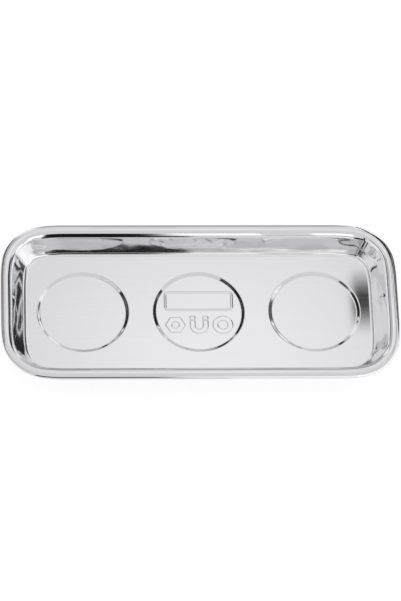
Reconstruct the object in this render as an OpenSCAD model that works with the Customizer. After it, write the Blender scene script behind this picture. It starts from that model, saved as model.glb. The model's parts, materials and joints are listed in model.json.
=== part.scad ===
// Magnetic parts tray: a pressed stainless pan carried on three ring magnets.
// Each magnet sits in a rubber boot, and a nut on a welded stud holds the boot up against the pan.
// The tray stands on the flat undersides of its boots, at Z = 0. X runs along the pan's length.

/* [Pan] */
// Length of the pan over its rolled edge
pan_length = 360; // [340:1:420]
// Width of the pan over its rolled edge
pan_width = 161; // [146:1:200]
// Depth of the pan, from the top of its flange down to its floor
pan_depth = 21; // [16:0.5:32]
// Thickness of the steel sheet
sheet = 0.6; // [0.4:0.1:0.8]
// Corner radius of the rolled edge, seen from above
rim_corner_r = 43; // [34:0.5:60]
// Width of the wall on a long side, seen from above, with the bends at its foot and its top
wall_run = 15.7; // [13:0.1:20]
// How much wider the wall is at each end of the pan
end_extra = 3.8; // [0:0.1:6]
// Inside radius of the bend between the floor and the wall
floor_bend_r = 4; // [2:0.5:6]

/* [Rim] */
// Outside radius of the bend between the wall and the flange
rim_bend_r = 6; // [2:0.5:7]
// Width of the flat flange, from the wall's top bend to the rolled edge
flange_w = 3.3; // [2.5:0.1:8]
// Outside radius of the rolled edge
curl_r = 2.2; // [1.6:0.1:2.8]
// How far round the edge is rolled, in degrees
curl_angle = 230; // [180:5:240]

/* [Recesses] */
// Distance between the centres of neighbouring recesses
recess_pitch = 105; // [98:0.5:115]
// Depth of a recess below the floor
recess_depth = 1.8; // [1:0.1:2.5]
// Width of the sloping step around a recess, seen from above
recess_step = 4; // [2:0.1:5]
// Radius of the two bends in the step, on the upper face of the sheet
recess_bend_r = 1.8; // [1:0.1:2]
// Flat left around a boot on the underside of its recess
recess_margin = 0.5; // [0.3:0.1:3]

/* [Embossing] */
// Height of the raised lines in the middle recess
emboss_h = 0.4; // [0.2:0.1:0.6]
// Width of the empty label frame
frame_w = 62; // [50:1:64]
// Height of the label frame, seen from above
frame_h = 20; // [14:1:22]
// Outside corner radius of the label frame
frame_corner_r = 4; // [2.6:0.2:6]
// Width of the label frame's line
frame_line = 1.6; // [1:0.1:2.5]
// Distance from the label frame to the row of signs below it
sign_gap = 6; // [3:0.5:8]
// Height of a sign, seen from above
sign_size = 18; // [14:0.5:20]
// Distance between the middles of neighbouring signs
sign_pitch = 21.5; // [21:0.5:24]
// Width of the band that a sign is drawn with
sign_band = 4.4; // [2:0.2:5]
// Length of the horseshoe's pole tips
pole_tip = 3.4; // [2:0.2:5]
// Gap between the horseshoe's legs and its pole tips
pole_gap = 1.2; // [0.8:0.1:2]

/* [Magnets] */
// Outside diameter of a ring magnet
magnet_d = 70; // [56:1:76]
// Diameter of the hole in a ring magnet
magnet_bore_d = 32; // [28:1:36]
// Thickness of a ring magnet
magnet_t = 10; // [9:0.5:15]
// Chamfer on the edges of a ring magnet
magnet_chamfer = 0.6; // [0.2:0.1:1]

/* [Boots] */
// Thickness of a boot's outer wall
boot_wall = 2.5; // [1.5:0.1:4]
// Thickness of the rubber under a magnet
boot_web = 2.5; // [1.5:0.1:4]
// Radius around the lower edge of a boot
boot_edge_r = 1.5; // [0.5:0.1:2]
// Thickness of the rubber between a magnet's hole and the well for the nut
hub_wall = 2.8; // [1.5:0.1:4]
// Thickness of the rubber that the nut clamps, between the pan and the clamp washer
hub_web = 3; // [2:0.1:4]
// Clearance between the rubber and what it fits around
boot_fit = 0.2; // [0.1:0.05:0.4]

/* [Fasteners] */
// Thread diameter of a weld stud
stud_d = 5; // [4:0.5:6]
// Diameter of a stud's weld flange
stud_flange_d = 9; // [8:0.5:12]
// Thickness of a stud's weld flange
stud_flange_t = 0.8; // [0.5:0.1:1.2]
// Length of stud beyond its nut
stud_tip = 0.7; // [0.4:0.1:1.5]
// Chamfer on the end of a stud
stud_chamfer = 0.5; // [0.2:0.1:0.8]
// Thickness of a clamp washer
washer_t = 1.5; // [1:0.1:2]
// Gap between a clamp washer's edge and the wall of the well
washer_gap = 1; // [0.5:0.1:3]
// Gap between a washer's hole and the stud
washer_fit = 0.2; // [0.1:0.05:0.4]
// Outside diameter of a spring washer
spring_d = 9.2; // [8.6:0.1:11]
// Thickness of a spring washer
spring_t = 1.3; // [0.8:0.1:1.8]
// Width of the split in a spring washer
spring_split = 0.8; // [0.4:0.1:1.2]
// Slant of the split, in degrees
spring_slant = 22; // [10:1:30]
// Width of a nut across its flats
nut_across_flats = 8; // [7.5:0.5:10]
// Height of a nut
nut_h = 4; // [3:0.1:5]
// Chamfer on the corners of a nut, down the height
nut_chamfer = 0.5; // [0.2:0.1:0.8]
// Clearance between a stud and its nut's thread, on the radius
thread_fit = 0.05; // [0.02:0.01:0.1]

/* [Hidden] */
$fn = 96;
overrun = 1;
bend_steps = 8;
curl_steps = 24;
edge_steps = 6;

// Length of the long sides that is made together with an end
end_lap = 20;

// Outside radius of the horseshoe's bow, as a share of the sign's height
bow_share = 0.45;
// Largest radius of the bends in a recess's step, as a share of that at which they would meet
bend_limit_share = 0.95;

PLACES = ["left", "centre", "right"];
STATION_PIECES = ["ring_magnet", "rubber_boot", "weld_stud", "clamp_washer", "spring_washer", "hex_nut"];

// Radii of one magnet station, from its middle outwards
stud_r = stud_d / 2;
hub_r = magnet_bore_d / 2 - boot_fit;
well_r = hub_r - hub_wall;
washer_r = well_r - washer_gap;
pocket_r = magnet_d / 2 + boot_fit;
boot_r = pocket_r + boot_wall;
recess_flat_r = boot_r + recess_margin;
recess_r = recess_flat_r + recess_step;
step_bend_limit = (recess_step * recess_step + recess_depth * recess_depth) / (4 * recess_depth);
step_bend_r = min(recess_bend_r, bend_limit_share * step_bend_limit);

// Heights above the bench, from the underside of the recesses up to the rim
boot_h = boot_web + magnet_t;
recess_z = boot_h + sheet;
floor_z = recess_z + recess_depth;

// Heights in the well, from the rubber that the washer clamps down to the stud's end
well_z = boot_h - hub_web;
washer_z = well_z - washer_t;
spring_z = washer_z - spring_t;
nut_z = spring_z - nut_h;
stud_z = nut_z - stud_tip;

// Plan of the pan: the bend at the foot of the wall starts at the edge of the flat floor
wall_inset = wall_run + flange_w + curl_r;
floor_corner_r = rim_corner_r - wall_inset;
corner_y = pan_width / 2 - rim_corner_r;

// The ends lean out further than the long sides, by this much for each unit of height above the floor
end_slant = end_extra / pan_depth;
rim_lean = end_slant * (pan_depth - curl_r) + curl_r * (norm([1, end_slant]) - 1);
corner_x = pan_length / 2 - rim_corner_r - rim_lean;

function arc(centre, r, from, to, steps) =
    [for (i = [0 : steps]) let (a = from + (to - from) * i / steps) centre + r * [cos(a), sin(a)]];

function reversed(points) = [for (i = [len(points) - 1 : -1 : 0]) points[i]];

function moved_out(points, by) = [for (p = points) p + [by, 0]];

// Slope of a straight wall that joins a bend of radius low_r at its foot to one of radius high_r at its top
function wall_slope(run, rise, low_r, high_r) =
    let (h = rise - low_r - high_r) atan2(h, run) + asin((low_r + high_r) / norm([run, h]));

// One face of a sheet that rises from one flat to the next, at the given depth below its upper face
function rise_face(run, rise, low_r, high_r, depth) =
    let (slope = wall_slope(run, rise, low_r, high_r))
    concat(
        arc([0, low_r], low_r + depth, -90, slope - 90, bend_steps),
        arc([run, rise - high_r], high_r - depth, slope + 90, 90, bend_steps)
    );

// One face of the pan's wall, flange and rolled edge, measured out from the edge of the flat floor
function wall_face(depth) =
    concat(
        rise_face(wall_run, pan_depth, floor_bend_r, rim_bend_r, depth),
        arc([wall_run + flange_w, pan_depth - curl_r], curl_r - depth, 90, 90 - curl_angle, curl_steps)
    );

// Section through the pan's side, from the axis of its corners outwards, with the strip of floor there
module wall_section() {
    polygon(concat(
        [[0, 0]],
        moved_out(wall_face(0), floor_corner_r),
        moved_out(reversed(wall_face(sheet)), floor_corner_r),
        [[0, -sheet]]
    ));
}

module pan_corner() {
    rotate_extrude(angle = 90) wall_section();
}

// A straight side of the given length, along Y, with its section facing +X
module pan_side(length) {
    translate([0, length / 2, 0]) rotate([90, 0, 0]) linear_extrude(height = length) wall_section();
}

// One end of the pan with its two corners, before it leans out
module upright_end() {
    stub_x = corner_x - end_lap / 2;
    translate([corner_x - end_lap, -corner_y, -sheet]) cube([end_lap, 2 * corner_y, sheet]);
    translate([corner_x, 0, 0]) pan_side(2 * corner_y);
    translate([corner_x, corner_y, 0]) pan_corner();
    translate([corner_x, -corner_y, 0]) rotate([0, 0, -90]) pan_corner();
    translate([stub_x, corner_y, 0]) rotate([0, 0, 90]) pan_side(end_lap);
    translate([stub_x, -corner_y, 0]) rotate([0, 0, -90]) pan_side(end_lap);
}

// Leans a shape towards +X in proportion to the height above the floor
module leaning_out() {
    multmatrix([[1, 0, end_slant, 0], [0, 1, 0, 0], [0, 0, 1, 0], [0, 0, 0, 1]]) children();
}

// The pan without its recesses, with the upper face of its floor at Z = 0
module plain_pan() {
    middle = 2 * corner_x - end_lap;
    translate([-middle / 2, -corner_y, -sheet]) cube([middle, 2 * corner_y, sheet]);
    for (side = [0, 180]) rotate([0, 0, side]) {
        translate([0, corner_y, 0]) rotate([0, 0, 90]) pan_side(middle);
        leaning_out() upright_end();
    }
}

// One face of the step around a recess, measured out from the recess's middle and up from its bottom
function step_face(depth) =
    moved_out(rise_face(recess_step, recess_depth, step_bend_r, step_bend_r, depth), recess_flat_r);

// The outside of a recess, up to the middle of the floor's sheet
module recess_body() {
    top = recess_depth - sheet / 2;
    rotate_extrude() polygon(concat([[0, -sheet]], step_face(sheet), [[recess_r, top], [0, top]]));
}

// The hollow of a recess, open at the top
module recess_hollow() {
    top = recess_depth + overrun;
    rotate_extrude() polygon(concat([[0, 0]], step_face(0), [[recess_r, top], [0, top]]));
}

module label_frame() {
    difference() {
        rounded_plate(frame_w, frame_h, frame_corner_r);
        rounded_plate(frame_w - 2 * frame_line, frame_h - 2 * frame_line, frame_corner_r - frame_line);
    }
}

module rounded_plate(width, height, corner_r) {
    x = width / 2 - corner_r;
    y = height / 2 - corner_r;
    polygon(concat(
        arc([x, y], corner_r, 0, 90, edge_steps),
        arc([-x, y], corner_r, 90, 180, edge_steps),
        arc([-x, -y], corner_r, 180, 270, edge_steps),
        arc([x, -y], corner_r, 270, 360, edge_steps)
    ));
}

module nut_sign() {
    difference() {
        circle(r = sign_size / 2, $fn = 6);
        circle(r = sign_size / 2 * cos(30) - sign_band);
    }
}

// A horseshoe magnet with its poles up
module horseshoe_sign() {
    bow_r = sign_size * bow_share;
    leg_y = bow_r - sign_size / 2;
    leg_h = sign_size - bow_r;
    difference() {
        translate([0, leg_y]) union() {
            intersection() {
                circle(r = bow_r);
                translate([-bow_r, -bow_r]) square([2 * bow_r, bow_r]);
            }
            translate([-bow_r, 0]) square([2 * bow_r, leg_h]);
        }
        translate([0, leg_y]) circle(r = bow_r - sign_band);
        translate([sign_band - bow_r, leg_y]) square([2 * (bow_r - sign_band), leg_h + overrun]);
        translate([-bow_r - overrun, sign_size / 2 - pole_tip - pole_gap])
            square([2 * (bow_r + overrun), pole_gap]);
    }
}

module washer_sign() {
    difference() {
        circle(r = sign_size / 2);
        circle(r = sign_size / 2 - sign_band);
    }
}

// The raised lines, rooted in the sheet: an empty label frame over a row of signs for small steel parts
module embossing() {
    translate([0, 0, -sheet / 2]) linear_extrude(height = sheet / 2 + emboss_h) {
        translate([0, (sign_gap + sign_size) / 2]) label_frame();
        translate([0, -(frame_h + sign_gap) / 2]) {
            translate([-sign_pitch, 0]) nut_sign();
            horseshoe_sign();
            translate([sign_pitch, 0]) washer_sign();
        }
    }
}

module at_stations() {
    for (i = [0 : len(PLACES) - 1]) translate([station_x(i), 0, 0]) children();
}

function station_x(i) = (i - (len(PLACES) - 1) / 2) * recess_pitch;

module tray_pan() {
    color("gainsboro") {
        difference() {
            union() {
                translate([0, 0, floor_z]) plain_pan();
                at_stations() translate([0, 0, recess_z]) recess_body();
            }
            at_stations() translate([0, 0, recess_z]) recess_hollow();
        }
        translate([0, 0, recess_z]) embossing();
    }
}

module ring_magnet() {
    bore_r = magnet_bore_d / 2;
    ring_r = magnet_d / 2;
    color("dimgray") translate([0, 0, boot_web]) rotate_extrude() polygon([
        [bore_r, magnet_chamfer],
        [bore_r + magnet_chamfer, 0],
        [ring_r - magnet_chamfer, 0],
        [ring_r, magnet_chamfer],
        [ring_r, magnet_t - magnet_chamfer],
        [ring_r - magnet_chamfer, magnet_t],
        [bore_r + magnet_chamfer, magnet_t],
        [bore_r, magnet_t - magnet_chamfer]
    ]);
}

// A cup that covers the magnet's side and underside, with a hub through its hole and a well for the nut
module rubber_boot() {
    hole_r = stud_r + boot_fit;
    flange_seat_r = stud_flange_d / 2 + boot_fit;
    flange_seat_z = boot_h - stud_flange_t - boot_fit;
    color("black") rotate_extrude() polygon(concat(
        arc([boot_r - boot_edge_r, boot_edge_r], boot_edge_r, -90, 0, edge_steps),
        [
            [boot_r, boot_h],
            [pocket_r, boot_h],
            [pocket_r, boot_web],
            [hub_r, boot_web],
            [hub_r, boot_h],
            [flange_seat_r, boot_h],
            [flange_seat_r, flange_seat_z],
            [hole_r, flange_seat_z],
            [hole_r, well_z],
            [well_r, well_z]
        ],
        arc([well_r + boot_edge_r, boot_edge_r], boot_edge_r, 180, 270, edge_steps)
    ));
}

module weld_stud() {
    color("silver") rotate_extrude() polygon([
        [0, stud_z],
        [stud_r - stud_chamfer, stud_z],
        [stud_r, stud_z + stud_chamfer],
        [stud_r, boot_h - stud_flange_t],
        [stud_flange_d / 2, boot_h - stud_flange_t],
        [stud_flange_d / 2, boot_h],
        [0, boot_h]
    ]);
}

module clamp_washer() {
    color("silver") translate([0, 0, washer_z]) difference() {
        cylinder(r = washer_r, h = washer_t);
        translate([0, 0, -overrun]) cylinder(r = stud_r + washer_fit, h = washer_t + 2 * overrun);
    }
}

// A split ring, drawn flat as the tightened nut holds it
module spring_washer() {
    spring_r = spring_d / 2;
    color("darkgray") translate([0, 0, spring_z]) difference() {
        cylinder(r = spring_r, h = spring_t);
        translate([0, 0, -overrun]) cylinder(r = stud_r + washer_fit, h = spring_t + 2 * overrun);
        translate([0, 0, spring_t / 2]) rotate([spring_slant, 0, 0])
            translate([0, -spring_split / 2, -spring_d]) cube([spring_d, spring_split, 2 * spring_d]);
    }
}

module hex_nut() {
    corner_r = nut_across_flats / 2 / cos(30);
    flat_r = nut_across_flats / 2;
    color("silver") translate([0, 0, nut_z]) difference() {
        intersection() {
            cylinder(r = corner_r, h = nut_h, $fn = 6);
            rotate_extrude() polygon([
                [0, 0],
                [flat_r, 0],
                [corner_r, nut_chamfer],
                [corner_r, nut_h - nut_chamfer],
                [flat_r, nut_h],
                [0, nut_h]
            ]);
        }
        translate([0, 0, -overrun]) cylinder(r = stud_r + thread_fit, h = nut_h + 2 * overrun);
    }
}

tray_pan();
for (i = [0 : len(PLACES) - 1]) translate([station_x(i), 0, 0]) {
    ring_magnet();
    rubber_boot();
    weld_stud();
    clamp_washer();
    spring_washer();
    hex_nut();
}
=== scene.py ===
import json
import math

import bmesh
import bpy
import numpy as np
from bpy.props import FloatProperty, FloatVectorProperty, IntProperty, PointerProperty
from mathutils import Matrix, Vector


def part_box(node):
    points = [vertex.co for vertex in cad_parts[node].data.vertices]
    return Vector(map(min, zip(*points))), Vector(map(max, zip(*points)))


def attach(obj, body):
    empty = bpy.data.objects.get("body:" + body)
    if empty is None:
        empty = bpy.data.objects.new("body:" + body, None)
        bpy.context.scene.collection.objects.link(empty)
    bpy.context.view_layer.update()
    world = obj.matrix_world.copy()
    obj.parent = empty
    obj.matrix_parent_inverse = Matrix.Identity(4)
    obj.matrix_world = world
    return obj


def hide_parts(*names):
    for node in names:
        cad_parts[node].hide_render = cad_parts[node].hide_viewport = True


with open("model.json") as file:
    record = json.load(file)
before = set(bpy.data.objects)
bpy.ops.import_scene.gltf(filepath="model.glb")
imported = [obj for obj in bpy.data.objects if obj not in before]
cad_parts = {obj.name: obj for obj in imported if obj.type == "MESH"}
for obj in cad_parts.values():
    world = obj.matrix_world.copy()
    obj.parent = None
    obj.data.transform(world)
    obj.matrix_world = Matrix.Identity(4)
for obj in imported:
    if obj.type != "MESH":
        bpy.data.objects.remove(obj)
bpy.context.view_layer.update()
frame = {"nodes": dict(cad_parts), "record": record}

bl_info = {
    "name": "Magnetic parts tray",
    "version": (1, 0, 0),
    "blender": (4, 5, 0),
    "location": "View3D > Sidebar > Parts tray",
    "description": "Dresses a magnetic parts tray in pressed steel, rubber and plated fasteners",
    "category": "Object",
}

PLACES = ("left", "centre", "right")
MOUNTS = {m["name"]: m["pos_m"] for m in frame["record"]["mounts"]}
PAN_LOW, PAN_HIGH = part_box("tray_pan")
BOOT_LOW, BOOT_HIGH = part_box("rubber_boot_centre")
FLOOR_Z = MOUNTS["floor"][2]
PITCH = MOUNTS["sole_right"][0]
BOOT_R = (BOOT_HIGH.x - BOOT_LOW.x) / 2
BOOT_TOP = BOOT_HIGH.z
QUARTER = math.pi / 2
TINY = 1e-9


# Settings that a user would change

def length(name, description, default):
    return FloatProperty(name=name, description=description, default=default, min=0,
                         unit="LENGTH", precision=5)


def angle(name, description, degrees):
    return FloatProperty(name=name, description=description, default=math.radians(degrees),
                         subtype="ANGLE")


def colour(name, description, default):
    return FloatVectorProperty(name=name, description=description, default=default, size=3,
                               min=0, max=1, subtype="COLOR")


class PanSizes(bpy.types.PropertyGroup):
    """Sizes of the pressed pan"""
    rim_corner: length("Rim corner", "Corner radius of the rolled edge, seen from above", 0.043)
    wall_run: length("Wall run", "Width of the wall on a long side, seen from above", 0.0157)
    end_extra: length("End extra", "How much wider the wall is at each end", 0.0038)
    foot_bend: length("Foot bend", "Inside radius at the foot of a long side's wall", 0.0025)
    rim_bend: length("Rim bend", "Outside radius at the top of a long side's wall", 0.0075)
    end_foot_bend: length("End foot bend", "Inside radius at the foot of an end's wall", 0.004)
    end_rim_bend: length("End rim bend", "Outside radius at the top of an end's wall", 0.006)
    flange: length("Flange", "Width of the flange, seen from above", 0.0033)
    flange_fall: angle("Flange fall", "How far the flange turns down to the rolled edge", 20)
    curl: length("Rolled edge", "Outside radius of the rolled edge", 0.0022)
    curl_turn: angle("Roll", "How far round the edge is rolled", 230)
    sheet: length("Sheet", "Thickness of the steel sheet", 0.0006)
    recess_margin: length("Recess margin", "Flat left around a boot under its recess", 0.0005)
    step_run: length("Step run", "Width of the step around a recess, seen from above", 0.0040)
    step_bend: length("Step bend", "Radius of the two bends in the step", 0.0018)
    corner_ease: length("Corner ease", "Length over which a side turns into a corner", 0.015)
    wall_wave: length("Wall wave", "Height of the waves that drawing leaves in the walls", 0.00002)


class EmbossSizes(bpy.types.PropertyGroup):
    """Sizes of the raised lines in the middle recess"""
    rise: length("Rise", "Height of the raised lines", 0.0004)
    edge: length("Edge", "Width of the soft edge of a raised line", 0.0008)
    frame_width: length("Frame width", "Width of the empty label frame", 0.062)
    frame_height: length("Frame height", "Height of the label frame, seen from above", 0.020)
    frame_corner: length("Frame corner", "Outside corner radius of the label frame", 0.004)
    frame_line: length("Frame line", "Width of the label frame's line", 0.0016)
    sign_gap: length("Sign gap", "Distance from the label frame to the signs", 0.006)
    sign_size: length("Sign size", "Height of a sign, seen from above", 0.018)
    sign_pitch: length("Sign pitch", "Distance between neighbouring signs", 0.0215)
    sign_band: length("Sign band", "Width of the band that a sign is drawn with", 0.0044)
    pole_tip: length("Pole tip", "Length of the horseshoe's pole tips", 0.0034)
    pole_gap: length("Pole gap", "Gap between the horseshoe's legs and its tips", 0.0012)


class BaseSizes(bpy.types.PropertyGroup):
    """Sizes of the boots and fasteners under the pan"""
    boot_edge: length("Boot edge", "Radius around the lower edges of a boot", 0.0015)
    boot_fit: length("Boot fit", "Clearance between the rubber and what it fits around", 0.0002)
    hub_wall: length("Hub wall", "Thickness of the rubber around the well for the nut", 0.0028)
    groove_width: length("Groove width", "Width of the rings moulded into the sole", 0.0018)
    groove_depth: length("Groove depth", "Depth of the rings moulded into the sole", 0.0007)
    rib_depth: length("Rib depth", "Depth of the gaps between the ribs of the sole", 0.0004)
    ribs: IntProperty(name="Ribs", description="Number of ribs around the sole", default=36, min=6)
    thread_pitch: length("Thread pitch", "Pitch of the studs' threads", 0.0008)
    thread_depth: length("Thread depth", "Depth of the studs' threads", 0.00045)
    stud: length("Stud", "Outside radius of the studs' threads", 0.0025)
    stud_flange: length("Stud flange", "Thickness of the studs' weld flanges", 0.0008)
    edge: length("Edge", "Radius or chamfer on the edges of a washer or nut", 0.00025)
    nut_chamfer: length("Nut chamfer", "Chamfer on the corners of a nut, down its height", 0.0005)
    thread_fit: length("Thread fit", "Clearance around a stud in its nut", 0.00005)
    washer_fit: length("Washer fit", "Clearance around a stud in its washers", 0.0002)


class Finishes(bpy.types.PropertyGroup):
    """Colours of the tray's materials"""
    steel: colour("Steel", "Colour of the polished steel", (0.795, 0.795, 0.81))
    steel_roughness: FloatProperty(name="Steel roughness", default=0.06, min=0, max=1,
                                   description="Blur of the polished steel's reflections",
                                   subtype="FACTOR")
    rubber: colour("Rubber", "Colour of the moulded rubber", (0.022, 0.022, 0.024))
    ferrite: colour("Ferrite", "Colour of the sintered magnets", (0.07, 0.07, 0.075))
    zinc: colour("Zinc", "Colour of the plated fasteners", (0.62, 0.64, 0.66))
    spring: colour("Spring steel", "Colour of the spring washers", (0.30, 0.30, 0.32))


class Studio(bpy.types.PropertyGroup):
    """Camera and floor"""
    elevation: angle("Elevation", "Height of the camera above the floor's plane", 59.13)
    azimuth: angle("Azimuth", "Turn of the camera around the tray", -6.61)
    roll: angle("Roll", "Turn of the camera about its own axis", 5.56)
    distance: length("Distance", "From the middle of the tray's floor to the camera", 3.623)
    lens: FloatProperty(name="Lens", description="Focal length", default=239.6,
                        subtype="DISTANCE_CAMERA")
    sweep: colour("Sweep", "Colour of the floor that the tray stands on", (0.9, 0.9, 0.9))


# Mesh tools

WELD = 2e-6
CREASE = math.radians(35)


def arc(centre, radius, start, end, steps):
    """Points on an arc, with angles in radians"""
    a = np.linspace(start, end, steps + 1)
    return np.stack([centre[0] + radius * np.cos(a), centre[1] + radius * np.sin(a)], 1)


def between(a, b, steps):
    """Points inside the straight line from a to b, without its ends"""
    t = np.linspace(0, 1, steps + 1)[1:-1, None]
    return a + (b - a) * t


def smooth(t):
    """A share from 0 to 1 that starts and ends gently"""
    return t * t * (3 - 2 * t)


def wall_slope(run, rise, low, high):
    """Slope of the straight part between a bend at the foot and one at the top"""
    h = rise - low - high
    return math.atan2(h, run) + math.asin((low + high) / math.hypot(run, h))


def rise_face(run, rise, low, high, depth, steps, straight):
    """One face of a sheet that rises from one flat to the next, at a depth below its upper face"""
    slope = wall_slope(run, rise, low, high)
    foot = arc((0, low), low + depth, -QUARTER, slope - QUARTER, steps)
    top = arc((run, rise - high), high - depth, slope + QUARTER, QUARTER, steps)
    return np.concatenate([foot, between(foot[-1], top[0], straight), top])


class Shell:
    """Gathers grids of points into one mesh"""

    def __init__(self):
        self.points, self.faces, self.count = [], [], 0

    def grid(self, points, closed=False):
        """Adds rows of points with faces between them, all round where a row is closed"""
        rows, columns = points.shape[:2]
        first = self.count
        self.points.append(points.reshape(-1, 3))
        self.count += rows * columns
        last = columns if closed else columns - 1
        for j in range(rows - 1):
            for i in range(last):
                k = (i + 1) % columns
                a, b = first + j * columns, first + (j + 1) * columns
                self.faces.append((a + i, a + k, b + k, b + i))

    def mesh(self, name):
        data = bpy.data.meshes.new(name)
        data.from_pydata(np.concatenate(self.points).tolist(), [], self.faces)
        return data


def finish_mesh(obj, crease=math.pi):
    """Welds the seams, turns the faces outwards and shades them smooth, but not over a crease"""
    bm = bmesh.new()
    bm.from_mesh(obj.data)
    bmesh.ops.remove_doubles(bm, verts=bm.verts, dist=WELD)
    bmesh.ops.recalc_face_normals(bm, faces=bm.faces)
    for face in bm.faces:
        face.smooth = True
    for edge in bm.edges:
        edge.smooth = len(edge.link_faces) == 2 and edge.calc_face_angle(0) < crease
    bm.to_mesh(obj.data)
    bm.free()


def new_object(name, data):
    obj = bpy.data.objects.new(name, data)
    bpy.context.scene.collection.objects.link(obj)
    return obj


def turned(name, profile, steps, form=None, crease=CREASE):
    """Turns a closed profile of radius and height at each station, after form has bent it"""
    a = np.linspace(0, 2 * math.pi, steps, endpoint=False)[None]
    profile = np.concatenate([profile, profile[:1]])
    r, z = profile[:, :1] + 0 * a, profile[:, 1:] + 0 * a
    if form:
        r, z = form(r, z, a)
    pieces = []
    for place, x in zip(PLACES, (-PITCH, 0, PITCH)):
        shell = Shell()
        shell.grid(np.stack([x + r * np.cos(a), r * np.sin(a), z], 2), closed=True)
        obj = new_object(f"{name}_{place}", shell.mesh(f"{name}_{place}"))
        finish_mesh(obj, crease)
        pieces.append(obj)
    return pieces


def fit(pieces, node_name, mat):
    """Puts new pieces in the place of a node of each station"""
    for place, obj in zip(PLACES, pieces):
        obj.data.materials.append(mat)
        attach(obj, "root")
        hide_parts(f"{node_name}_{place}")


def coat(node_name, mat):
    """Gives the nodes of each station a finish"""
    for place in PLACES:
        data = frame["nodes"][f"{node_name}_{place}"].data
        data.materials.clear()
        data.materials.append(mat)


def eased(points, radius, steps=4):
    """A closed outline with its corners rounded"""
    points = np.array(points)
    out = []
    for before, p, after in zip(np.roll(points, 1, 0), points, np.roll(points, -1, 0)):
        a = p + (before - p) / np.linalg.norm(before - p) * radius
        b = p + (after - p) / np.linalg.norm(after - p) * radius
        for t in np.linspace(0, 1, steps + 1):
            out.append(a * (1 - t) ** 2 + 2 * p * t * (1 - t) + b * t ** 2)
    return np.array(out)


# The pan

# Mesh steps of the upper and the lower face: in a bend, up the straight wall and round the roll
UPPER_STEPS, LOWER_STEPS = (20, 16, 36), (10, 4, 18)
FLANGE_STEPS = 8
RECESS_BEND_STEPS, RECESS_WALL_STEPS = 12, 3
SIDE_STEPS, MIDDLE_STEPS, CORNER_STEPS, END_STEPS, ACROSS_STEPS = 24, 40, 72, 20, 44

# Rows of the floor, as shares of the way from its edge to a step, and rows of a recess's bottom,
# as shares of its radius
FLOOR_ROWS = (0, 0.008, 0.03, 0.1, 0.22, 0.36, 0.5, 0.64, 0.78, 0.9, 0.97, 0.992, 1)
RING_ROWS = (0.995, 0.98)
BOTTOM_ROWS = RING_ROWS + (0.9, 0.75, 0.55, 0.3, 0)

# The angle from a side over which the outline eases into a corner, and the part of the largest
# possible bend that a step may have
EASE_TURN = math.radians(10)
BEND_PART = 0.95

# The y part of the outward direction from which the profile turns to that of the long sides, and
# over how much of it
SIDE_START, SIDE_BLEND = 0.85, 0.15

# Waves in the walls: height, turns per metre in x and y, start, and turn from foot to top, in
# radians, and how they grow towards the ends
WAVES = ((1, 40, 60, 2.1, 8), (0.7, 171, -131, 0.7, -5), (0.4, 389, 317, 4, 9))
WAVE_GROWTH, WAVE_START, WAVE_REACH = 3, 0.85, 0.25

# The embossed patch: mesh size, its part of the bottom's radius, and the horseshoe's half width as
# a part of a sign's height
PATCH_MESH, PATCH_PART = 0.0003, 0.965
BOW_PART = 0.45


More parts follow.
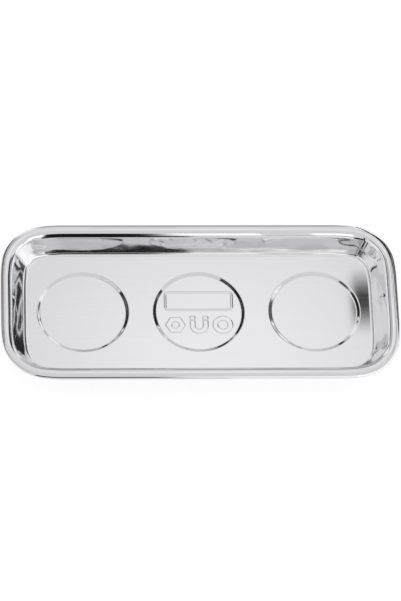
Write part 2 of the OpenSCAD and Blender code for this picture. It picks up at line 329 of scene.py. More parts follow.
class PanPlan:
    """The pan's outline and sections, in metres"""

    def __init__(self, sizes):
        s = self.sizes = sizes
        self.depth = PAN_HIGH.z - FLOOR_Z
        self.recess_z = BOOT_TOP + s.sheet
        self.recess_depth = FLOOR_Z - self.recess_z
        self.floor_corner = s.rim_corner - s.wall_run - s.flange - s.curl
        self.slant = s.end_extra / self.depth
        lean = self.slant * (self.depth - s.curl) + s.curl * (math.hypot(1, self.slant) - 1)
        self.corner_x = (PAN_HIGH.x - PAN_LOW.x) / 2 - s.rim_corner - lean
        self.corner_y = (PAN_HIGH.y - PAN_LOW.y) / 2 - s.rim_corner
        self.half_width = self.corner_y + self.floor_corner
        self.recess_flat = BOOT_R + s.recess_margin
        largest = (s.step_run ** 2 + self.recess_depth ** 2) / (4 * self.recess_depth)
        self.step_bend = min(s.step_bend, BEND_PART * largest)
        self.ease_gain = 2 * s.corner_ease / EASE_TURN
        self.pull = self.ease_out(0)

    def ease_along(self, turn):
        """How far the centre of a corner's curve runs back along a side, at an angle from it"""
        return self.ease_gain * np.maximum(EASE_TURN - turn, 0) ** 2 / (2 * EASE_TURN)

    def ease_out(self, turn):
        """How far it moves out towards that side"""
        e = EASE_TURN
        b = np.minimum(turn, e)
        return self.ease_gain * ((e ** 2 - b ** 2) / 2 - (e ** 3 - b ** 3) / (3 * e))

    def straight_end(self, corner):
        """Where a straight side ends, from the middle of the pan"""
        return corner - self.pull - self.ease_along(0)

    def wall(self, depth, foot, rim):
        """The profile from the floor to the end of the roll, at a depth below the upper face"""
        s = self.sizes
        bend, straight, roll = LOWER_STEPS if depth else UPPER_STEPS
        rise = rise_face(s.wall_run, self.depth, foot, rim, depth, bend, straight)
        radius = s.flange / math.sin(s.flange_fall) + s.curl
        turn = QUARTER - s.flange_fall
        flange = arc((s.wall_run, self.depth - radius), radius - depth, QUARTER, turn,
                     FLANGE_STEPS)
        drop = (radius - s.curl) * (1 - math.cos(s.flange_fall))
        curl = arc((s.wall_run + s.flange, self.depth - s.curl - drop), s.curl - depth, turn,
                   QUARTER - s.curl_turn, roll)
        return np.concatenate([rise, flange[1:-1], curl])

    def walls(self, depth):
        """That profile on the long sides and at the ends"""
        s = self.sizes
        return (self.wall(depth, s.foot_bend, s.rim_bend),
                self.wall(depth, s.end_foot_bend, s.end_rim_bend))

    def step(self, depth):
        """The profile of the step around a recess"""
        face = rise_face(self.sizes.step_run, self.recess_depth, self.step_bend, self.step_bend,
                         depth, RECESS_BEND_STEPS, RECESS_WALL_STEPS)
        return face + [self.recess_flat, 0]

    def side(self, sign, start, end, steps):
        """Stations along a long side: centre of the outline's curve, outward direction, lean"""
        return [(x, sign * self.corner_y, 0, sign, x / self.corner_x)
                for x in np.linspace(start, end, steps + 1)]

    def corner(self, sx, sy, start):
        """Stations around a corner, anticlockwise"""
        stations = []
        for a in np.linspace(start, start + QUARTER, CORNER_STEPS + 1):
            to_end = math.acos(min(abs(math.cos(a)), 1))
            to_side = QUARTER - to_end
            x = self.corner_x - self.pull + self.ease_out(to_end) - self.ease_along(to_side)
            y = self.corner_y - self.pull + self.ease_out(to_side) - self.ease_along(to_end)
            stations.append((sx * x, sy * y, math.cos(a), math.sin(a), sx * x / self.corner_x))
        return stations

    def end(self, sx):
        """Stations along the straight part of one end"""
        y = self.straight_end(self.corner_y)
        return [(sx * self.corner_x, k, sx, 0, sx)
                for k in np.linspace(-sx * y, sx * y, END_STEPS + 1)]

    def outer_run(self, sx):
        """Stations around one end of the pan, anticlockwise, as far as the middle cell"""
        border, last = PITCH / 2, self.straight_end(self.corner_x)
        near = self.side(-sx, sx * border, sx * last, SIDE_STEPS)
        far = self.side(sx, sx * last, sx * border, SIDE_STEPS)
        turn = 0 if sx > 0 else math.pi
        first = self.corner(sx, -sx, turn - QUARTER)
        second = self.corner(sx, sx, turn)
        return near + first[1:-1] + self.end(sx) + second[1:-1] + far

    def edge(self, stations):
        """The floor's edge at each station"""
        st = np.array(stations)
        return st[:, :2] + st[:, 2:4] * self.floor_corner

    def wave(self, x, y, share):
        """Waves in the wall, full between its foot and its top, where there are none"""
        swell = np.sin(math.pi * np.clip(share, 0, 1)) ** 2
        to_end = np.clip(np.abs(x) / self.corner_x - WAVE_START, 0, WAVE_REACH) / WAVE_REACH
        waves = sum(part * np.sin(kx * x + ky * y + start + climb * share)
                    for part, kx, ky, start, climb in WAVES)
        return self.sizes.wall_wave * swell * (1 + WAVE_GROWTH * to_end) * waves

    def loft(self, shell, stations, profiles):
        """Sweeps the profiles of the long sides and the ends along a run of stations"""
        st = np.array(stations)[:, None, :]
        t = smooth(np.clip((np.abs(st[..., 3:4]) - SIDE_START) / SIDE_BLEND, 0, 1))
        p = profiles[0][None] * t + profiles[1][None] * (1 - t)
        tangent = np.gradient(p, axis=1)
        tangent /= np.linalg.norm(tangent, axis=2)[..., None]
        base = self.edge(stations)
        on_wall = p[..., 0] < self.sizes.wall_run
        shift = self.wave(base[:, :1], base[:, 1:], p[..., 1] / self.depth) * on_wall
        out = self.floor_corner + p[..., 0] - shift * tangent[..., 1]
        z = p[..., 1] + shift * tangent[..., 0]
        shell.grid(np.stack([st[..., 0] + st[..., 2] * out + st[..., 4] * self.slant * z,
                             st[..., 1] + st[..., 3] * out, FLOOR_Z + z], 2))


def floor_cell(plan, shell, centre_x, edge, depth, bossed):
    """The floor around one recess, its step and its bottom, of which it gives the last row"""
    def row(points, z):
        return np.column_stack([points, np.full(len(edge), z)])

    centre = np.array([centre_x, 0])
    ray = edge - centre
    ray = ray / np.linalg.norm(ray, axis=1)[:, None]
    step = plan.step(depth)[::-1]
    ring = centre + ray * step[0, 0]
    rows = [row(edge + (ring - edge) * t, FLOOR_Z - depth) for t in FLOOR_ROWS]
    rows += [row(centre + ray * r, plan.recess_z + z) for r, z in step[1:]]
    rows += [row(centre + ray * step[-1, 0] * k, plan.recess_z - depth)
             for k in (RING_ROWS if bossed else BOTTOM_ROWS)]
    shell.grid(np.stack(rows), closed=True)
    return rows[-1]


def rounded_box(x, y, half_x, half_y, corner):
    """Distance outside a box with round corners, less than 0 inside"""
    qx, qy = np.abs(x) - half_x + corner, np.abs(y) - half_y + corner
    outside = np.hypot(np.maximum(qx, 0), np.maximum(qy, 0))
    return outside + np.minimum(np.maximum(qx, qy), 0) - corner


def band(distance, width):
    """A band along the inside of an outline, from the distance outside that outline"""
    return np.abs(distance + width / 2) - width / 2


def emboss_height(e, x, y):
    """Height of the raised lines: an empty label frame over a nut, a magnet and a washer"""
    label = rounded_box(x, y - (e.sign_gap + e.sign_size) / 2, e.frame_width / 2,
                        e.frame_height / 2, e.frame_corner)
    v = y + (e.frame_height + e.sign_gap) / 2
    half = e.sign_size / 2
    u = x + e.sign_pitch
    flat = half * math.cos(math.pi / 6)
    hexagon = np.maximum(np.abs(v), np.abs(u) * math.cos(math.pi / 6) + np.abs(v) / 2) - flat
    nut_sign = np.maximum(hexagon, flat - e.sign_band - np.hypot(u, v))
    bow = e.sign_size * BOW_PART
    reach = np.where(v > bow - half, np.abs(x), np.hypot(x, v - (bow - half)))
    magnet_sign = np.maximum(band(reach - bow, e.sign_band), v - half)
    gap = e.pole_gap / 2 - np.abs(v - half + e.pole_tip + e.pole_gap / 2)
    magnet_sign = np.maximum(magnet_sign, gap)
    washer_sign = band(np.hypot(x - e.sign_pitch, v) - half, e.sign_band)
    lines = np.minimum(np.minimum(band(label, e.frame_line), nut_sign),
                       np.minimum(magnet_sign, washer_sign))
    return e.rise * smooth(np.clip(0.5 - lines / e.edge, 0, 1))


def emboss_patch(plan, emboss, ring):
    """The bottom of the middle recess inside the ring, with its raised lines"""
    reach = plan.recess_flat * PATCH_PART
    n = int(reach / PATCH_MESH)
    line = np.arange(-n, n + 1) * PATCH_MESH
    x, y = np.meshgrid(line, line)
    inside = np.hypot(x, y) < reach
    z = plan.recess_z + emboss_height(emboss, x, y)
    bm = bmesh.new()
    verts = {}
    for j, i in zip(*np.nonzero(inside)):
        verts[j, i] = bm.verts.new((x[j, i], y[j, i], z[j, i]))
    for j, i in list(verts):
        square = [(j, i), (j, i + 1), (j + 1, i + 1), (j + 1, i)]
        if all(k in verts for k in square):
            bm.faces.new([verts[k] for k in square])
    for v in [v for v in bm.verts if not v.link_faces]:
        bm.verts.remove(v)
    loop = [bm.verts.new(p) for p in ring]
    rim = [bm.edges.new((a, b)) for a, b in zip(loop, loop[1:] + loop[:1])]
    border = [e for e in bm.edges if len(e.link_faces) == 1] + rim
    bmesh.ops.triangle_fill(bm, use_beauty=True, edges=border, normal=(0, 0, 1))
    data = bpy.data.meshes.new("emboss_patch")
    bm.to_mesh(data)
    bm.free()
    return data


class PARTS_TRAY_OT_pan(bpy.types.Operator):
    """Press the steel pan with its recesses, raised lines, flange and rolled edge"""
    bl_idname = "parts_tray.press_pan"
    bl_label = "Press the pan"

    def execute(self, context):
        scene = context.scene
        plan = PanPlan(scene.tray_pan)
        sheet = scene.tray_pan.sheet
        shell = Shell()
        border = PITCH / 2
        across = np.linspace(plan.half_width, -plan.half_width, ACROSS_STEPS + 1)[1:-1]
        runs = {-1: [plan.outer_run(-1)], 1: [plan.outer_run(1)],
                0: [plan.side(-1, -border, border, MIDDLE_STEPS),
                    plan.side(1, border, -border, MIDDLE_STEPS)]}
        open_ring = None
        for depth in (0, sheet):
            profiles = plan.walls(depth)
            for place, sets in runs.items():
                for stations in sets:
                    plan.loft(shell, stations, profiles)
                if place:
                    shared = np.column_stack([np.full(len(across), place * border),
                                              place * across])
                    edge = np.concatenate([plan.edge(sets[0]), shared])
                else:
                    right = np.column_stack([np.full(len(across), border), across[::-1]])
                    left = np.column_stack([np.full(len(across), -border), across])
                    edge = np.concatenate([plan.edge(sets[0]), right, plan.edge(sets[1]), left])
                bossed = place == 0 and depth == 0
                ring = floor_cell(plan, shell, place * PITCH, edge, depth, bossed)
                if bossed:
                    open_ring = ring
        lip = [np.stack([upper[-1], lower[-1]])
               for upper, lower in zip(plan.walls(0), plan.walls(sheet))]
        for sets in runs.values():
            for stations in sets:
                plan.loft(shell, stations, lip)
        obj = new_object("pressed_pan", shell.mesh("pressed_pan"))
        patch = new_object("emboss_patch", emboss_patch(plan, scene.tray_emboss, open_ring))
        with context.temp_override(active_object=obj, selected_editable_objects=[obj, patch]):
            if bpy.ops.object.join() != {"FINISHED"}:
                raise RuntimeError("The raised lines could not be joined to the pan")
        finish_mesh(obj)
        obj.data.materials.append(steel_material(scene.tray_finishes))
        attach(obj, "root")
        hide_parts("tray_pan")
        return {"FINISHED"}


# The pieces under the pan

# The sole: where its two rings lie between its edges, a ring's section as shares of half its width
# and of its depth, and the ribs between the rings, whose gaps run out over a short length
RING_PLACES = np.array([0.16, 0.86])
RING_SECTION = ((-1, 0), (-0.75, 0.8), (-0.5, 1), (0.5, 1), (0.75, 0.8), (1, 0))
RIB_END, RIB_STEEPNESS = 0.0004, 1.6
RIB_ROWS, RIB_STEPS = 5, 8

# The other edges of a boot: the mould's seam, the radius of a lip, and steps in a round edge
SEAM_HALF, SEAM_DEPTH = 0.0003, 0.0002
LIP, LIP_STEPS = 0.00015, 2
ROUND_STEPS = 6

# The studs: lead of the thread's end, fillet and chamfer of the flange, and the thread's form,
# which is cut steeper than a plain V and so has flat crests and roots
THREAD_LEAD = 0.00005
STUD_FILLET, STUD_CHAMFER = 0.0003, 0.0001
THREAD_STEEPNESS, THREAD_FLAT = 1.25, 0.125
THREAD_ROWS, THREAD_STEPS = 10, 48

# The washers and nuts
TURN_STEPS = 96
CHAMFER_ROWS, FLAT_ROWS = 7, 4
NUT_CREASE = math.radians(18)


def bore_radius(node_name):
    """Radius of a turned node's hole"""
    points = np.array([v.co for v in frame["nodes"][node_name].data.vertices])
    return float(np.hypot(points[:, 0], points[:, 1]).min())


class PARTS_TRAY_OT_boots(bpy.types.Operator):
    """Mould the rubber boots, with rings and ribs in their soles"""
    bl_idname = "parts_tray.mould_boots"
    bl_label = "Mould the boots"

    def execute(self, context):
        b = context.scene.tray_base
        magnet_low, magnet_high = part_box("ring_magnet_centre")
        washer_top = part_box("clamp_washer_centre")[1].z
        pocket = magnet_high.x + b.boot_fit
        hub = bore_radius("ring_magnet_centre") - b.boot_fit
        well = hub - b.hub_wall
        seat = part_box("weld_stud_centre")[1].x + b.boot_fit
        seat_z = BOOT_TOP - b.stud_flange - b.boot_fit
        hole = b.stud + b.boot_fit
        inner, outer = well + b.boot_edge, BOOT_R - b.boot_edge
        rings = inner + (outer - inner) * RING_PLACES
        first, last = rings[0] + b.groove_width, rings[1] - b.groove_width
        rows = np.linspace(first + RIB_END, last - RIB_END, RIB_ROWS)
        sole = [(inner, 0)] + self.ring(rings[0], b)
        sole += [(r, 0) for r in (first, *rows, last)]
        sole += self.ring(rings[1], b)
        edge = arc((outer, b.boot_edge), b.boot_edge, -QUARTER, 0, ROUND_STEPS)
        line = (BOOT_TOP + b.boot_edge) / 2
        seam = [(BOOT_R, line - SEAM_HALF), (BOOT_R - SEAM_DEPTH, line),
                (BOOT_R, line + SEAM_HALF)]
        cup = eased([(BOOT_R, BOOT_TOP), (pocket, BOOT_TOP), (pocket, magnet_low.z),
                     (hub, magnet_low.z), (hub, BOOT_TOP), (seat, BOOT_TOP), (seat, seat_z),
                     (hole, seat_z), (hole, washer_top), (well, washer_top),
                     (well, b.boot_edge)], LIP, LIP_STEPS)
        # The foot's arc takes the place of the last corner
        cup = cup[:-LIP_STEPS - 1]
        foot = arc((inner, b.boot_edge), b.boot_edge, math.pi, 3 * QUARTER, ROUND_STEPS)
        profile = np.concatenate([sole, edge, seam, cup, foot[:-1]])

        def ribs(r, z, a):
            t = np.clip((r - first) / RIB_END, 0, 1) * np.clip((last - r) / RIB_END, 0, 1)
            gap = np.clip(RIB_STEEPNESS * np.cos(b.ribs * a), 0, 1)
            return r, np.where(z < TINY, z + b.rib_depth * t * gap, z)

        fit(turned("moulded_boot", profile, RIB_STEPS * b.ribs, ribs), "rubber_boot",
            rubber_material(context.scene.tray_finishes))
        return {"FINISHED"}

    @staticmethod
    def ring(radius, b):
        """Points across a moulded ring in the sole"""
        return [(radius + across * b.groove_width / 2, up * b.groove_depth)
                for across, up in RING_SECTION]


class PARTS_TRAY_OT_studs(bpy.types.Operator):
    """Thread the weld studs"""
    bl_idname = "parts_tray.thread_studs"
    bl_label = "Thread the studs"

    def execute(self, context):
        b = context.scene.tray_base
        low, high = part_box("weld_stud_centre")
        neck = high.z - b.stud_flange
        lead = b.thread_depth + THREAD_LEAD
        rows = np.arange(low.z + lead, neck - b.thread_pitch, b.thread_pitch / THREAD_ROWS)
        profile = np.concatenate([
            [(0, low.z), (b.stud - lead, low.z), (b.stud - lead / 2, low.z + lead / 2)],
            np.column_stack([np.full(len(rows), b.stud), rows]),
            [(b.stud, neck - b.thread_pitch), (b.stud, neck - STUD_FILLET),
             (b.stud + STUD_CHAMFER, neck - STUD_CHAMFER), (b.stud + STUD_FILLET, neck),
             (high.x - STUD_CHAMFER, neck), (high.x, neck + STUD_CHAMFER),
             (high.x, high.z), (0, high.z)]])

        def thread(r, z, a):
            turn = (z / b.thread_pitch - a / (2 * math.pi)) % 1
            flank = np.abs(2 * turn - 1) * THREAD_STEEPNESS - THREAD_FLAT
            cut = b.thread_depth * np.clip(flank, 0, 1)
            ease = np.clip((neck - b.thread_pitch - z) / b.thread_pitch, 0, 1)
            on = (np.abs(r - b.stud) < TINY) & (z >= low.z + lead - TINY)
            return np.where(on, r - cut * ease, r), z

        fit(turned("threaded_stud", profile, THREAD_STEPS, thread), "weld_stud",
            zinc_material(context.scene.tray_finishes))
        return {"FINISHED"}


class PARTS_TRAY_OT_washers(bpy.types.Operator):
    """Stamp the clamp washers and finish the spring washers"""
    bl_idname = "parts_tray.stamp_washers"
    bl_label = "Stamp the washers"

    def execute(self, context):
        b = context.scene.tray_base
        low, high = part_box("clamp_washer_centre")
        hole = b.stud + b.washer_fit
        profile = eased([(hole, low.z), (high.x, low.z), (high.x, high.z), (hole, high.z)], b.edge)
        fit(turned("stamped_washer", profile, TURN_STEPS), "clamp_washer",
            zinc_material(context.scene.tray_finishes))
        coat("spring_washer", spring_material(context.scene.tray_finishes))
        return {"FINISHED"}


class PARTS_TRAY_OT_nuts(bpy.types.Operator):
    """Forge the nuts"""
    bl_idname = "parts_tray.forge_nuts"
    bl_label = "Forge the nuts"

    def execute(self, context):
        b = context.scene.tray_base
        low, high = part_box("hex_nut_centre")
        corner, height = high.x, high.z - low.z
        flat = corner * math.cos(math.pi / 6)
        bore = b.stud + b.thread_fit
        side = np.concatenate([
            np.linspace(0, b.nut_chamfer, CHAMFER_ROWS),
            np.linspace(b.nut_chamfer, height - b.nut_chamfer, FLAT_ROWS)[1:-1],
            height - np.linspace(b.nut_chamfer, 0, CHAMFER_ROWS)]) + low.z
        profile = np.concatenate([
            [(bore, high.z - b.edge), (bore, low.z + b.edge), (bore + b.edge, low.z),
             (flat - b.edge, low.z)],
            np.column_stack([np.full(len(side), corner), side]),
            [(flat - b.edge, high.z), (bore + b.edge, high.z)]])

        def hexagon(r, z, a):
            side_r = flat / np.cos((a + math.pi / 6) % (math.pi / 3) - math.pi / 6)
            end = np.minimum(z - low.z, high.z - z)
            cone = flat + (corner - flat) * np.clip(end / b.nut_chamfer, 0, 1)
            return np.where(r > flat, np.minimum(side_r, cone), r), z

        fit(turned("forged_nut", profile, TURN_STEPS, hexagon, NUT_CREASE), "hex_nut",
            zinc_material(context.scene.tray_finishes))
        return {"FINISHED"}


class PARTS_TRAY_OT_magnets(bpy.types.Operator):
    """Finish the ring magnets"""
    bl_idname = "parts_tray.finish_magnets"
    bl_label = "Finish the magnets"

    def execute(self, context):
        coat("ring_magnet", ferrite_material(context.scene.tray_finishes))
        return {"FINISHED"}


# Materials

WHITE = (1, 1, 1, 1)


def material(name):
    """A new material with its node tree and its shader"""
    mat = bpy.data.materials.new(name)
    mat.use_nodes = True
    tree = mat.node_tree
    return mat, tree, tree.nodes["Principled BSDF"]


def node(tree, kind, inputs=None, **settings):
    """Adds a node, with its settings, and its inputs set or linked"""
    n = tree.nodes.new(kind)
    for key, value in settings.items():
        setattr(n, key, value)
    for key, value in (inputs or {}).items():
        if isinstance(value, bpy.types.NodeSocket):
            tree.links.new(value, n.inputs[key])
        else:
            n.inputs[key].default_value = value
    return n


def on_piece(tree):
    """The place on the piece, in metres"""
    return node(tree, "ShaderNodeTexCoord").outputs["Object"]


def noise(tree, place, scale, detail):
    """Clouds with values from 0 to 1"""
    inputs = {"Vector": place, "Scale": scale, "Detail": detail}
    return node(tree, "ShaderNodeTexNoise", inputs).outputs["Fac"]


def ranged(tree, value, start, end, low, high, **settings):
    """Spreads what lies between start and end over the range from low to high"""
    inputs = {"Value": value, "From Min": start, "From Max": end, "To Min": low, "To Max": high}
    return node(tree, "ShaderNodeMapRange", inputs, **settings).outputs[0]


def maths(tree, operation, *values):
    return node(tree, "ShaderNodeMath", dict(enumerate(values)), operation=operation).outputs[0]


def tint(tree, shader, base, tone):
    """Gives the shader a base colour that a tone makes lighter or darker"""
    shade = node(tree, "ShaderNodeVectorMath", {0: base, 1: tone}, operation="MULTIPLY")
    tree.links.new(shade.outputs[0], shader.inputs["Base Color"])


def bump(tree, shader, height, strength):
    """Gives the shader a fine relief, a tenth of a millimetre high"""
    inputs = {"Height": height, "Strength": strength, "Distance": 0.0001}
    tree.links.new(node(tree, "ShaderNodeBump", inputs).outputs[0], shader.inputs["Normal"])


def mixed(tree, share, first, second):
    """Goes from the first shader to the second with a share from 0 to 1"""
    return node(tree, "ShaderNodeMixShader", {0: share, 1: first, 2: second}).outputs[0]


def steel_material(finishes):
    """Polished stainless steel with a fine lengthwise grain and faint haze"""
    mat, tree, steel = material("polished_stainless")
    steel.inputs["Metallic"].default_value = 1
    place = on_piece(tree)
    along = node(tree, "ShaderNodeMapping", {"Vector": place, "Scale": (14, 1100, 1100)})
    grain = noise(tree, along.outputs[0], 1.0, 3.0)
    haze = noise(tree, place, 28.0, 4.0)
    blur = finishes.steel_roughness
    rough = ranged(tree, maths(tree, "MULTIPLY", grain, haze), 0.1, 0.45, blur * 0.7, blur * 1.5)
    tree.links.new(rough, steel.inputs["Roughness"])
    tint(tree, steel, finishes.steel, ranged(tree, grain, 0.25, 0.75, 0.965, 1.0))
    return mat


def rubber_material(finishes):
    """Moulded black rubber, dull, with a fine pebble and a grey bloom"""
    mat, tree, rubber = material("moulded_rubber")
    place = on_piece(tree)
    bloom = noise(tree, place, 90.0, 5.0)
    tint(tree, rubber, finishes.rubber, ranged(tree, bloom, 0.3, 0.75, 0.75, 1.9))
    tree.links.new(ranged(tree, bloom, 0.0, 1.0, 0.5, 0.8), rubber.inputs["Roughness"])
    bump(tree, rubber, noise(tree, place, 1800.0, 2.0), 0.25)
    return mat


def ferrite_material(finishes):
    """Sintered ferrite: dark grey, granular, with lighter specks"""
    mat, tree, ferrite = material("sintered_ferrite")
    cells = node(tree, "ShaderNodeTexVoronoi", {"Vector": on_piece(tree), "Scale": 1500.0})
    grains = cells.outputs["Distance"]
    tint(tree, ferrite, finishes.ferrite, ranged(tree, grains, 0.0, 0.8, 0.7, 1.5))
    ferrite.inputs["Roughness"].default_value = 0.62
    bump(tree, ferrite, grains, 0.3)
    return mat


def plated_material(name, base, low, high, spread):
    """Plated steel, with cloudy brightness and roughness"""
    mat, tree, plate = material(name)
    plate.inputs["Metallic"].default_value = 1
    cloud = noise(tree, on_piece(tree), 260.0, 5.0)
    tint(tree, plate, base, ranged(tree, cloud, 0.25, 0.75, 1 - spread, 1 + spread))
    tree.links.new(ranged(tree, cloud, 0.25, 0.75, low, high), plate.inputs["Roughness"])
    return mat


def zinc_material(finishes):
    """Bright zinc plate"""
    return (bpy.data.materials.get("zinc_plate")
            or plated_material("zinc_plate", finishes.zinc, 0.22, 0.42, 0.12))


def spring_material(finishes):
    """Dark oiled spring steel"""
    return plated_material("oiled_spring_steel", finishes.spring, 0.3, 0.5, 0.2)


# The studio

# Half the floor's side and its height, just under the soles, what it glows with, and the grey that
# takes the tray's shadow
FLOOR_HALF, STUDIO_FLOOR_Z = 4.0, -0.0002
FLOOR_GLOW = 0.82
FLOOR_GREY = (0.3, 0.3, 0.3, 1)

# Light from the world where it isn't seen directly
WORLD_FILL = 0.7

# The picture's height in pixels, its longer side, and how many pixels its middle lies to the right
# of and above the middle of the tray's floor
FRAME_HEIGHT = 601
AIM_RIGHT, AIM_UP = 1.63, 11.07

# Ways that a card faces
DOWN, BACK, FRONT, LEFT, TO_TRAY = (0, 0, -1), (0, 1, 0), (0, -1, 0), (-1, 0, 0), None
RIGHT_FAR, RIGHT_NEAR = (0.949, 0.254, -0.187), (0.946, 0.248, -0.21)
LEFT_FAR, LEFT_NEAR = (-0.965, 0.256, -0.056), (-0.963, 0.248, -0.11)

# Cards that the steel reflects: name, the two ends of the middle line, width, the way it faces,
# brightness, and the widths of the soft edges at the ends and along the sides
CARDS = (
    ("front_ceiling", (-1.1, -0.53, 0.9), (1.1, -0.53, 0.9), 1.16, DOWN, 0.78, (0.1, 0.12)),
    ("back_ceiling", (-0.9, 0.55, 1.0), (1.0, 0.55, 1.0), 1.4, DOWN, 0.80, (0.2, 0.2)),
    ("back_softbox", (-0.30, 0.45, 0.9), (0.46, 0.45, 0.9), 0.7, DOWN, 1.05, (0.38, 0.35)),
    ("back_curtain", (-0.25, 0.8, 0.3), (0.3, 0.8, 0.3), 0.8, FRONT, 0.38, (0.1, 0.35)),
    ("right_flag", (0.525, 0.492, 0.744), (0.399, 0.767, 0.479), 0.9, RIGHT_FAR, 0.03,
     (0.05, 0.03)),
    ("left_flag", (-0.323, 0.843, 0.652), (-0.443, 0.451, 0.942), 0.74, LEFT_FAR, 0.5,
     (0.05, 0.03)),
    ("front_flag", (-0.38, -0.5, 0.51), (0.035, -0.5, 0.51), 0.68, BACK, 0.01, (0.06, 0.03)),
    ("front_flag_low", (-0.38, -0.502, 0.095), (0.033, -0.502, 0.095), 0.21, BACK, 0.01,
     (0.015, 0.01)),
    ("near_edge", (-0.155, -0.0845, 0.0325), (0.03, -0.0845, 0.0325), 0.0085, BACK, 0.75,
     (0.01, 0.0005)),
    ("front_left_fill", (-0.8, -0.55, 0.14), (0.0, -0.55, 0.14), 0.32, BACK, 0.62, (0.05, 0.04)),
    ("front_right_low", (0.0, -0.51, 0.08), (0.7, -0.51, 0.08), 0.1, BACK, 1.5, (0.02, 0.01)),
    ("front_right_fill", (0.0, -0.52, 0.2), (0.27, -0.52, 0.2), 0.22, BACK, 0.5, (0.02, 0.01)),
    ("front_right_side", (0.15, -0.53, 0.2), (0.75, -0.53, 0.2), 0.24, BACK, 1.35, (0.05, 0.01)),
    ("front_right_panel", (0.0, -0.51, 0.58), (0.7, -0.51, 0.58), 0.54, BACK, 1.4, (0.02, 0.03)),
    ("right_panel", (0.7, -0.55, 0.28), (0.7, 0.1, 0.28), 0.46, LEFT, 1.4, (0.06, 0.06)),
    ("right_rim_flag", (0.4, 0.09, 0.2), (0.4, 0.33, 0.2), 0.24, LEFT, 0.12, (0.05, 0.05)),
    ("strip_left_left", (0.494, 0.118, 0.498), (0.322, 0.515, 0.161), 0.028, RIGHT_FAR, 1.3,
     (0.05, 0.01)),
    ("strip_centre_left", (0.269, 0.021, 0.269), (0.171, 0.232, 0.075), 0.044, RIGHT_NEAR, 0.02,
     (0.02, 0.008)),
    ("strip_left_right", (-0.204, 0.185, 0.070), (-0.260, 0.020, 0.194), 0.036, LEFT_NEAR, 0.02,
     (0.02, 0.006)),
    ("left_band", (-0.530, 1.042, 0.211), (-0.755, -0.045, 0.843), 0.182, TO_TRAY, 0.02,
     (0.05, 0.02)),
    ("corner_fill", (-0.095, 0.16, 0.115), (-0.012, 0.16, 0.115), 0.034, FRONT, 0.75,
     (0.004, 0.002)),
    ("far_corner_fill", (0.065, -0.055, 0.154), (0.125, -0.055, 0.154), 0.142, BACK, 0.8,
     (0.01, 0.01)),
    ("left_band_top", (-0.632, 0.03, 0.697), (-0.385, -0.293, 0.806), 0.12, TO_TRAY, 0.02,
     (0.03, 0.02)),
    ("front_left_flag", (-0.5, -0.5, 0.84), (-0.36, -0.5, 0.84), 0.12, BACK, 0.02, (0.02, 0.01)),
    ("end_flag", (0.196, 0.195, 0.4), (0.196, 0.285, 0.4), 0.036, DOWN, 0.05, (0.04, 0.012)),
)


class PARTS_TRAY_OT_studio(bpy.types.Operator):
    """Set the floor, the light and the camera"""
    bl_idname = "parts_tray.set_studio"
    bl_label = "Set the studio"

    def execute(self, context):
        scene = context.scene
        scene.view_settings.view_transform = "Standard"
        white_world(scene)
        set_floor(scene.tray_studio)
        for card in CARDS:
            set_card(*card)
        set_camera(scene, scene.tray_studio)
        return {"FINISHED"}


def seen_directly(tree):
    """1 for rays from the camera, from gloss and through glass, 0 for the rest"""
    path = node(tree, "ShaderNodeLightPath").outputs
    first = maths(tree, "MAXIMUM", path["Is Camera Ray"], path["Is Glossy Ray"])
    return maths(tree, "MAXIMUM", first, path["Is Transmission Ray"])


def white_world(scene):
    """A world that is seen white and lights the tray a little less"""
    world = bpy.data.worlds.new("white_studio")
    world.use_nodes = True
    tree = world.node_tree
    tree.nodes.clear()
    seen = node(tree, "ShaderNodeBackground", {"Color": WHITE, "Strength": 1.0})
    fill = node(tree, "ShaderNodeBackground", {"Color": WHITE, "Strength": WORLD_FILL})
    mix = mixed(tree, seen_directly(tree), fill.outputs[0], seen.outputs[0])
    node(tree, "ShaderNodeOutputWorld", {"Surface": mix})
    scene.world = world


def flat_card(name, corners):
    """A card of one face, with a material to be filled in"""
    data = bpy.data.meshes.new(name)
    data.from_pydata(corners, [], [(0, 1, 2, 3)])
    mat, tree, shader = material(name)
    tree.nodes.remove(shader)
    data.materials.append(mat)
    return new_object(name, data), tree


def show(tree, shader):
    tree.links.new(shader, tree.nodes["Material Output"].inputs["Surface"])


def set_floor(studio):
    """A white floor that keeps the tray's shadow and is clear from below"""
    h, z = FLOOR_HALF, STUDIO_FLOOR_Z
    floor, tree = flat_card("studio_floor", [(-h, -h, z), (h, -h, z), (h, h, z), (-h, h, z)])
    lit = node(tree, "ShaderNodeBsdfDiffuse", {"Color": (*studio.sweep, 1)}).outputs[0]
    shaded = node(tree, "ShaderNodeBsdfDiffuse", {"Color": FLOOR_GREY}).outputs[0]
    glow = node(tree, "ShaderNodeEmission", {"Color": WHITE, "Strength": FLOOR_GLOW}).outputs[0]
    bright = node(tree, "ShaderNodeAddShader", {0: shaded, 1: glow}).outputs[0]
    top = mixed(tree, seen_directly(tree), lit, bright)
    under = node(tree, "ShaderNodeNewGeometry").outputs["Backfacing"]
    clear = node(tree, "ShaderNodeBsdfTransparent").outputs[0]
    show(tree, mixed(tree, under, top, clear))


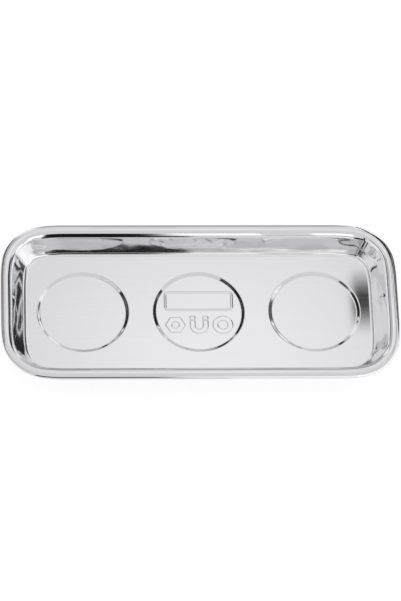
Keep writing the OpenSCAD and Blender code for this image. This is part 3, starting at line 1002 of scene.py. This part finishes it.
def set_card(name, start, end, width, facing, brightness, soft):
    """A card that only reflections show, with edges that fade out"""
    start, end = Vector(start), Vector(end)
    middle, along = (start + end) / 2, (end - start) / 2
    toward = Vector(facing) if facing else Vector((0, 0, FLOOR_Z)) - middle
    across = toward.cross(along).normalized() * (width / 2)
    obj, tree = flat_card(name, [(-1, -1, 0), (1, -1, 0), (1, 1, 0), (-1, 1, 0)])
    turn = Matrix((along, across, along.cross(across).normalized())).transposed().to_4x4()
    obj.matrix_world = Matrix.Translation(middle) @ turn
    split = node(tree, "ShaderNodeSeparateXYZ", {0: on_piece(tree)})
    fades = []
    for axis, share in zip("XY", (soft[0] / along.length, 2 * soft[1] / width)):
        out = maths(tree, "ABSOLUTE", split.outputs[axis])
        fades.append(ranged(tree, out, 1 - share, 1.0, 1.0, 0.0, interpolation_type="SMOOTHSTEP"))
    clear = node(tree, "ShaderNodeBsdfTransparent").outputs[0]
    glow = node(tree, "ShaderNodeEmission", {"Color": WHITE, "Strength": brightness}).outputs[0]
    show(tree, mixed(tree, maths(tree, "MULTIPLY", *fades), clear, glow))
    obj.visible_camera = obj.visible_diffuse = obj.visible_shadow = False


def set_camera(scene, studio):
    """A long lens, aimed a little above the middle of the tray's floor"""
    e, a, roll = studio.elevation, studio.azimuth, studio.roll
    back = Vector((math.sin(a) * math.cos(e), -math.cos(a) * math.cos(e), math.sin(e)))
    right = Vector((math.cos(a), math.sin(a), 0))
    up = back.cross(right)
    across = right * math.cos(roll) + up * math.sin(roll)
    upright = up * math.cos(roll) - right * math.sin(roll)
    data = bpy.data.cameras.new("camera")
    data.sensor_width = 36
    data.lens = studio.lens
    data.clip_end = 50
    pixel = studio.distance * data.sensor_width / studio.lens / FRAME_HEIGHT
    camera = new_object("camera", data)
    spot = Vector((0, 0, FLOOR_Z)) + back * studio.distance
    spot = spot + across * (AIM_RIGHT * pixel) + upright * (AIM_UP * pixel)
    turn = Matrix((across, upright, back)).transposed().to_4x4()
    camera.matrix_world = Matrix.Translation(spot) @ turn
    scene.camera = camera


class TRAY_PT_panel(bpy.types.Panel):
    """The steps that make the tray, in their order"""
    bl_idname = "TRAY_PT_panel"
    bl_label = "Parts tray"
    bl_space_type = "VIEW_3D"
    bl_region_type = "UI"
    bl_category = "Parts tray"

    def draw(self, context):
        for step in STEPS:
            self.layout.operator(step.bl_idname)
        for name, group in SETTINGS.items():
            box = self.layout.box()
            for setting in group.__annotations__:
                box.prop(getattr(context.scene, name), setting)


SETTINGS = {"tray_pan": PanSizes, "tray_emboss": EmbossSizes, "tray_base": BaseSizes,
            "tray_finishes": Finishes, "tray_studio": Studio}
STEPS = (PARTS_TRAY_OT_pan, PARTS_TRAY_OT_magnets, PARTS_TRAY_OT_boots, PARTS_TRAY_OT_studs,
         PARTS_TRAY_OT_washers, PARTS_TRAY_OT_nuts, PARTS_TRAY_OT_studio)


def register():
    for name, group in SETTINGS.items():
        bpy.utils.register_class(group)
        setattr(bpy.types.Scene, name, PointerProperty(type=group))
    for step in STEPS:
        bpy.utils.register_class(step)
    bpy.utils.register_class(TRAY_PT_panel)


def unregister():
    bpy.utils.unregister_class(TRAY_PT_panel)
    for step in reversed(STEPS):
        bpy.utils.unregister_class(step)
    for name, group in SETTINGS.items():
        delattr(bpy.types.Scene, name)
        bpy.utils.unregister_class(group)


def main():
    register()
    bpy.ops.parts_tray.press_pan()
    bpy.ops.parts_tray.finish_magnets()
    bpy.ops.parts_tray.mould_boots()
    bpy.ops.parts_tray.thread_studs()
    bpy.ops.parts_tray.stamp_washers()
    bpy.ops.parts_tray.forge_nuts()
    bpy.ops.parts_tray.set_studio()


if __name__ == "__main__":
    main()
